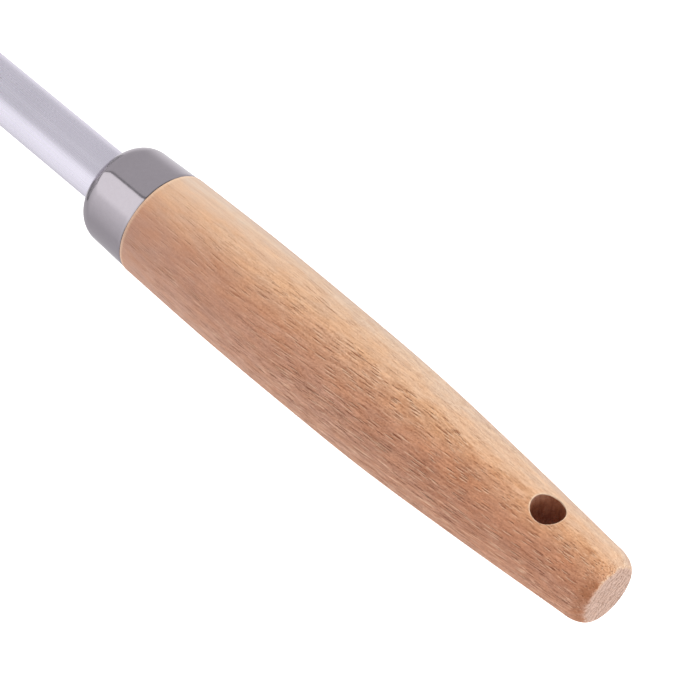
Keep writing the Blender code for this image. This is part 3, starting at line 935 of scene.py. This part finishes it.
def tube_along(path, radius, sides, ripple):
    """A round rod along points, closed at its ends. ripple gives the radius's factor at a point."""
    points = [Vector(p) for p in path]
    turns = [math.tau * j / sides for j in range(sides)]
    rings = []
    up = Vector((0, 0, 1))
    for i, point in enumerate(points):
        before = points[max(i - 1, 0)]
        after = points[min(i + 1, len(points) - 1)]
        tangent = (after - before).normalized()
        side = tangent.cross(up)
        if side.length < 1e-6:
            side = tangent.cross(Vector((0, 1, 0)))
        side.normalize()
        lift = side.cross(tangent)
        size = radius * ripple(i)
        rings.append([point + size * (math.cos(a) * side + math.sin(a) * lift) for a in turns])
    return loft([[points[0]], *rings, [points[-1]]])


def rim_path():
    slope = math.atan2(WALL_REAR - WALL_FRONT, TRAY_LENGTH - WALL_LEVEL)
    rear_x = BACK_X - BACK_SHEET / 2
    front_x = BACK_X - TRAY_LENGTH
    knee_x = rear_x - RIM_CORNER
    corner = arc((knee_x, SIDE_Y - RIM_CORNER), (RIM_CORNER, RIM_CORNER), 90, 0, 16)
    front = Vector((front_x, SIDE_Y, WALL_FRONT + RIM_LIFT / math.cos(slope)))
    knee = Vector((knee_x, SIDE_Y, WALL_REAR + RIM_LIFT))
    half = [front.lerp(knee, i / 24) for i in range(24)]
    half += [Vector((x, y, WALL_REAR + RIM_LIFT)) for x, y in corner]
    return [*half, *(Vector((p.x, -p.y, p.z)) for p in reversed(half))]


def make_rim():
    path = rim_path()
    start, end = path[0], path[-1]
    inward = (path[1] - path[0]).normalized()
    outward = (path[-2] - path[-1]).normalized()
    edge = 0.5 * MM
    path = [start, start + inward * edge * 0.3, start + inward * edge, *path[1:-1],
            end + outward * edge, end + outward * edge * 0.3, end]
    last = len(path) - 1
    sizes = {0: 0.8, 1: 0.93, last: 0.8, last - 1: 0.93}
    shell = tube_along(path, RIM_RADIUS, 40, lambda i: sizes.get(i, 1.0))
    finish_mesh(shell, "bent_rim_rod", WIRE_STEEL, "rim_wire", sharp=50)


# --- Fasteners ---


def facing(x, y, z):
    """Places a part built about local Z so that local Z runs along +X at a point."""
    return Matrix.Translation((x, y, z)) @ Matrix.Rotation(math.radians(90), 4, "Y")


def hex_radius(angle, flats):
    """Distance from a hexagon's middle to its side in a direction."""
    turn = (angle + math.radians(30)) % math.radians(60) - math.radians(30)
    return flats / 2 / math.cos(turn)


def shaped_ring(count, shape):
    """count points round local Z. shape gives the radius and height at an angle."""
    points = []
    for j in range(count):
        angle = math.tau * j / count
        radius, height = shape(angle)
        points.append((radius * math.cos(angle), radius * math.sin(angle), height))
    return points


def round_rings(count, *steps):
    """Rings of count points, one for each (radius, height) step."""
    return [shaped_ring(count, lambda angle: step) for step in steps]


def bolt_rings(shank_end):
    """Button head with a hex socket below Z = 0, shank with a helical thread above it."""
    count = 48
    pitch, depth, thread_steps = 0.8 * MM, 0.28 * MM, 60
    socket_mouth, socket_flats, socket_depth = 1.75 * MM, 3.0 * MM, 1.7 * MM
    rim = 0.12 * MM
    rings = [[(0, 0, shank_end)], *round_rings(count, (BOLT_RADIUS - 0.5 * MM, shank_end))]
    for i in range(thread_steps + 1):
        z = shank_end - 0.25 * MM - (shank_end - 1.0 * MM) * i / thread_steps
        groove = depth * min(1, i / 6 + 0.4)

        def thread(angle):
            phase = (z / pitch + angle / math.tau) % 1
            return BOLT_RADIUS - groove * abs(2 * phase - 1), z

        rings.append(shaped_ring(count, thread))
    rings += round_rings(count, (BOLT_RADIUS, 0), (BOLT_HEAD_RADIUS - 0.15 * MM, 0))
    dome = arc((socket_mouth, rim), (BOLT_HEAD_RADIUS - socket_mouth, BOLT_HEAD - rim), 0, 90, 11)
    rings += round_rings(count, *((radius, -height) for radius, height in dome))
    for height in (0.15 * MM, socket_depth):
        rings.append(shaped_ring(
            count, lambda angle: (hex_radius(angle, socket_flats), height - BOLT_HEAD)
        ))
    return [*rings, [(0, 0, socket_depth + 0.4 * MM - BOLT_HEAD)]]


def nut_rings():
    """Lock nut from Z = 0: chamfered hexagon, then a rolled collar round the insert."""
    count = 72
    body = 3.7 * MM
    bore = BOLT_RADIUS + 0.05 * MM
    collar_bore = 2.85 * MM
    chamfer = NUT_FLATS / 2 * 0.97
    slope = math.tan(math.radians(28))
    rings = round_rings(count, (bore, 0.3 * MM), (bore + 0.3 * MM, 0), (chamfer, 0))
    for base, sign in ((0.02 * MM, 1), (body - 0.02 * MM, -1)):

        def corner(angle):
            radius = hex_radius(angle, NUT_FLATS)
            return radius, base + sign * (radius - chamfer) * slope

        rings.append(shaped_ring(count, corner))
    return rings + round_rings(
        count,
        (chamfer, body),
        (3.45 * MM, body + 0.05 * MM),
        (3.4 * MM, NUT_HEIGHT - 0.35 * MM),
        (3.22 * MM, NUT_HEIGHT - 0.08 * MM),
        (3.0 * MM, NUT_HEIGHT),
        (collar_bore, NUT_HEIGHT - 0.12 * MM),
        (collar_bore, body + 0.2 * MM),
        (bore, body + 0.2 * MM),
    )


def insert_rings():
    low, high = 3.95 * MM, NUT_HEIGHT - 0.35 * MM
    inner, outer = BOLT_RADIUS - 0.1 * MM, 2.82 * MM
    return round_rings(
        48,
        (inner, low), (outer, low), (outer, high - 0.1 * MM),
        (outer - 0.1 * MM, high), (BOLT_RADIUS + 0.05 * MM, high), (inner, high - 0.15 * MM),
    )


def washer_rings():
    edge = 0.15 * MM
    hole = BOLT_RADIUS + GAP
    half = [(hole, edge), (hole + edge, 0), (WASHER_RADIUS - edge, 0), (WASHER_RADIUS, edge)]
    return round_rings(64, *half, *((radius, WASHER_SHEET - z) for radius, z in reversed(half)))


def make_fasteners():
    head_x = BACK_X - BACK_SHEET - GAP
    nut_x = BRACKET_FACE_X + WASHER_SHEET + GAP
    shank_end = nut_x + NUT_HEIGHT + 1.5 * MM - head_x
    for number, (y, z) in enumerate(bolt_places(), 1):

        def place(shell, x, spin, name, node=None, material=BOLT_STEEL, sharp=32):
            shell.transform(facing(x, y, z) @ Matrix.Rotation(math.radians(spin), 4, "Z"))
            stands_for = f"{node}_{number}" if node else None
            finish_mesh(shell, f"{name}_{number}", material, stands_for, sharp)

        place(loft(bolt_rings(shank_end)), head_x, 37 * number, "button_bolt", "bolt", sharp=38)
        place(loft(washer_rings(), True), BRACKET_FACE_X, 0, "round_washer", "washer")
        place(loft(nut_rings(), True), nut_x, 30, "lock_nut", "nut")
        place(loft(insert_rings(), True), nut_x, 0, "nut_insert", material=NYLON)


# --- Welds ---


def bead(name, path, radius, closed=False):
    """A weld bead along a path: a row of overlapping ripples."""
    points = [Vector(p) for p in path]
    lengths = [0.0]
    for a, b in zip(points, points[1:]):
        lengths.append(lengths[-1] + (b - a).length)
    count = max(8, round(lengths[-1] / (0.16 * MM)))
    even = []
    k = 0
    for i in range(count + 1):
        s = lengths[-1] * i / count
        while k < len(lengths) - 2 and lengths[k + 1] < s:
            k += 1
        share = (s - lengths[k]) / max(lengths[k + 1] - lengths[k], 1e-9)
        even.append(points[k].lerp(points[k + 1], share))
    pitch = 1.0 * MM

    def ripple(i):
        s = lengths[-1] * i / count
        end = min(s, lengths[-1] - s)
        taper = 1.0 if closed else min(1.0, 0.35 + 0.65 * math.sqrt(max(end, 0) / (1.2 * MM)))
        wave = (s / pitch) % 1
        return taper * (0.86 + 0.14 * math.sqrt(wave)) * (1 + 0.05 * noise.noise(1500 * even[i]))

    finish_mesh(tube_along(even, radius, 14, ripple), name, WELD, sharp=60)


def make_welds():
    face = BACK_X + GAP + BRACKET_SHEET + 0.25 * MM
    ring = axis_ring(face + 0.5 * MM, SHAFT_RADIUS + 0.5 * MM, 72)
    bead("weld_tube_to_bracket", [*ring, ring[0]], 1.35 * MM, closed=True)
    side = GUSSET_SHEET / 2 + 0.35 * MM
    left = BRACKET_FACE_X
    low = BRACKET_BOTTOM + 4.5 * MM
    high = UNDER_SHAFT_Z - 2.2 * MM
    under = UNDER_SHAFT_Z - 0.05 * MM
    for sign, label in ((-1, "left"), (1, "right")):
        y = sign * side
        upright_path = [(left + 0.3 * MM, y, z) for z in (low, high)]
        bead(f"weld_gusset_to_bracket_{label}", upright_path, 1.1 * MM)
        level_path = [(left + dx, y, under) for dx in (3 * MM, GUSSET_LENGTH - 2 * MM)]
        bead(f"weld_gusset_to_tube_{label}", level_path, 1.0 * MM)
    make_corner_welds()
    make_rim_welds()


def make_corner_welds():
    """Short beads inside the basket, where the back plate meets the tray."""
    x = BACK_X - BACK_SHEET - 0.35 * MM
    inset = 0.55 * MM
    half = blank_half(BACK_X, SHEET) - 8 * MM
    stitches = 9
    for number in range(stitches):
        centre = half * (2 * number / (stitches - 1) - 1) * 0.97
        path = [(x, *fold(centre + k * MM, SHEET / 2 + inset, SHEET)) for k in range(-5, 6)]
        bead(f"weld_back_to_tray_{number + 1}", path, 0.95 * MM)


def make_rim_welds():
    """Short beads on the inside, where the rim rod sits on the walls and the back."""
    number = 1
    for share in (0.04, 0.27, 0.50, 0.73, 0.95):
        x = BACK_X - WALL_LEVEL - (TRAY_LENGTH - WALL_LEVEL - 4 * MM) * share
        for sign in (-1, 1):
            ends = []
            for dx in (-4 * MM, 4 * MM):
                px = min(x + dx, BACK_X - WALL_LEVEL)
                ends.append((px, sign * (SIDE_Y - 1.0 * MM), wall_top(px) + 0.45 * MM))
            bead(f"weld_rim_{number}", ends, 0.85 * MM)
            number += 1
    for y in (-44, -22, 0, 22, 44):
        z = WALL_REAR + 0.4 * MM
        x = BACK_X - BACK_SHEET - 0.1 * MM
        bead(f"weld_rim_{number}", [(x, (y - 4) * MM, z), (x, (y + 4) * MM, z)], 0.85 * MM)
        number += 1


def make_lip_seam():
    """A flush ground seam that fills the joint between the tray and the lip."""
    rear = BACK_X - TRAY_LENGTH
    half = blank_half(rear, 0) - 0.3 * MM
    across = 120
    rings = []
    for i in range(across + 1):
        u = half * (2 * i / across - 1)
        wobble = 0.15 * MM * noise.noise(Vector((u * 700, 0, 4.0)))
        front, back = rear - 1.25 * MM + wobble, rear + 0.95 * MM + wobble
        middle = (front + back) / 2
        inner = LIP_SHEET
        rings.append([
            (back, *fold(u, 0.25 * MM, 0)),
            (middle, *fold(u, 0.02 * MM, 0)),
            (front, *fold(u, 0.25 * MM, 0)),
            (front, *fold(u, inner + 0.05 * MM, 0)),
            (middle, *fold(u, inner + 0.3 * MM, 0)),
            (back, *fold(u, SHEET + 0.1 * MM, 0)),
        ])
    finish_mesh(loft(rings, capped=True), "weld_lip_seam", WELD, sharp=60)


make_grip()
make_ferrule()
make_shaft()
make_bracket()
make_gusset()
make_tray()
make_back_plate()
make_lip()
make_rim()
make_fasteners()
make_welds()
make_lip_seam()
for name in ("tang_rod", "tang_plug"):
    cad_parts[name].data.materials.clear()
    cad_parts[name].data.materials.append(TANG_STEEL)


# --- Studio ---


def make_floor():
    size = 30.0
    level = -0.05 * MM
    mesh = bpy.data.meshes.new("studio_floor")
    signs = ((-1, -1), (1, -1), (1, 1), (-1, 1))
    mesh.from_pydata([(a * size, b * size, level) for a, b in signs], [], [(0, 1, 2, 3)])
    material, g, shader = new_material("studio_floor", Roughness=0.9, Specular_IOR_Level=0.0)
    cloud = g.noise(millimetres(g), scale=0.004, detail=2)
    g.feed(shader.inputs["Base Color"], g.mix(cloud, (0.90, 0.90, 0.90), (0.92, 0.92, 0.92)))
    shader.inputs["Emission Color"].default_value = (1, 1, 1, 1)
    shader.inputs["Emission Strength"].default_value = 0.60
    mesh.materials.append(material)
    floor = new_object("studio_floor", mesh)
    floor.visible_glossy = False


# Degrees the whole view is turned about the shaft's axis, which brings the hang hole into place
VIEW_TURN = 7.0


def make_world():
    """Even grey-lavender surroundings, paler low down behind, with bright panels in front."""
    world = bpy.data.worlds.new("studio")
    bpy.context.scene.world = world
    world.use_nodes = True
    g = Graph(world.node_tree)
    background = world.node_tree.nodes["Background"]
    x, y, z = g.xyz(g.add("TexCoord").outputs["Generated"])
    low = g.fall(z, -0.30, 0.30)
    low = g.times(low, g.step(y, 0.1, 0.4))
    front = g.step(x, 0.15, 0.45)
    band = g.band(z, 0.05, 0.2, 0.62, 0.72)
    panel = g.times(front, band)
    around = g.vector(x, y, z)
    room = g.range(g.noise(around, scale=1.5, detail=1), 0.36, 0.64, 0.30, 1.0)
    dimmed = g.times(g.step(x, -0.35, -0.05), g.minus(1.0, room))
    room = g.minus(1.0, dimmed)
    level = g.times(g.times_plus(low, 0.28, 0.60), room)
    level = g.times_plus(panel, 0.75, level)

    # A dark frame line along the upper edge of the ferrule's panel
    turn = g.times(g.math("ARCTAN2", z, g.times(y, -1.0)), 180 / math.pi)
    frame_line = g.band(turn, 67.5, 69.0, 71.5, 74.5)
    frame_line = g.times(frame_line, g.math("LESS_THAN", x, 0.0))
    level = g.times(level, g.times_plus(frame_line, -0.58, 1.0))
    background.inputs["Color"].default_value = (0.99, 0.97, 1.0, 1)
    g.feed(background.inputs["Strength"], level)


def make_panel(name, radius, stops, piece):
    """A surrounding that adds light by direction round the shaft's axis, for one piece only.

    The stops are (angle, light), the angle in degrees up from the -Y side.
    """
    mesh = bpy.data.meshes.new(name)
    shell = bmesh.new()
    bmesh.ops.create_icosphere(shell, subdivisions=4, radius=radius)
    shell.to_mesh(mesh)
    shell.free()
    panel = new_object(name, mesh)
    panel.location = (JOINT_X, 0, AXIS_Z)
    material = bpy.data.materials.new(name)
    material.use_nodes = True
    material.cycles.emission_sampling = "NONE"
    g = Graph(material.node_tree)
    g.tree.nodes.remove(g.tree.nodes["Principled BSDF"])
    x, y, z = g.xyz(g.add("TexCoord").outputs["Object"])
    turn = g.math("ARCTAN2", z, g.times(y, -1.0))
    share = g.times_plus(turn, 0.5 / math.pi, 0.5)
    light = g.ramp(share, [((a + 180) / 360, (v, v, v)) for a, v in stops])
    clear = g.add("BsdfTransparent").outputs[0]
    glow = g.add("Emission", {"Color": light}).outputs[0]
    both = g.add("AddShader", {0: clear, 1: glow}).outputs[0]
    g.feed(g.tree.nodes["Material Output"].inputs["Surface"], both)
    mesh.materials.append(material)
    for ray in ("camera", "diffuse", "shadow", "transmission"):
        setattr(panel, f"visible_{ray}", False)
    group = bpy.data.collections.new(f"lit_by_{name}")
    group.objects.link(bpy.data.objects[piece])
    panel.light_linking.receiver_collection = group


def make_lights():
    """A large soft sun from the back and above, and the two panels."""
    sun = bpy.data.lights.new("key", "SUN")
    sun.energy = 1.7
    sun.color = (1.0, 0.97, 0.94)
    sun.angle = math.radians(22)
    key = new_object("key", sun)
    key.location = (JOINT_X, 0.39, AXIS_Z + 0.92)
    direction = Vector((JOINT_X, 0, AXIS_Z)) - key.location
    key.rotation_euler = direction.to_track_quat("-Z", "Y").to_euler()
    key.visible_glossy = False
    make_panel(
        "ferrule_panel", 1.5,
        [(-44, 0.0), (-12, 0.2), (0, 0.29), (12, 0.39), (23, 0.66), (67.5, 0.66), (68.5, 0.0)],
        "domed_ferrule",
    )
    make_panel(
        "shaft_panel", 1.6,
        [(-100, 0.0), (-76, 0.2), (-40, 0.28), (-12, 0.36), (14, 0.36), (36, 0.0),
         (67, 0.0), (68, 0.33), (74, 0.33), (75, 0.0)],
        "satin_tube",
    )


def make_camera():
    data = bpy.data.cameras.new("camera")
    data.sensor_width = 36
    data.lens = 4 * data.sensor_width
    data.clip_end = 100
    camera = new_object("camera", data)
    azimuth, elevation = math.radians(46.5), math.radians(51.5)
    distance = 0.641
    axis = Matrix.Translation((0, 0, AXIS_Z))
    target = Vector((JOINT_X + 57.65 * MM, 5.95 * MM, 0))
    back = Vector((
        math.sin(azimuth) * math.cos(elevation),
        -math.cos(azimuth) * math.cos(elevation),
        math.sin(elevation),
    ))
    aim = (-back).to_track_quat("-Z", "Y").to_matrix().to_4x4()
    place = Matrix.Translation(target + distance * back) @ aim
    camera.matrix_world = axis @ Matrix.Rotation(math.radians(VIEW_TURN), 4, "X") @ place
    bpy.context.scene.camera = camera


make_floor()
make_world()
make_lights()
make_camera()
bpy.context.scene.view_settings.view_transform = "Standard"
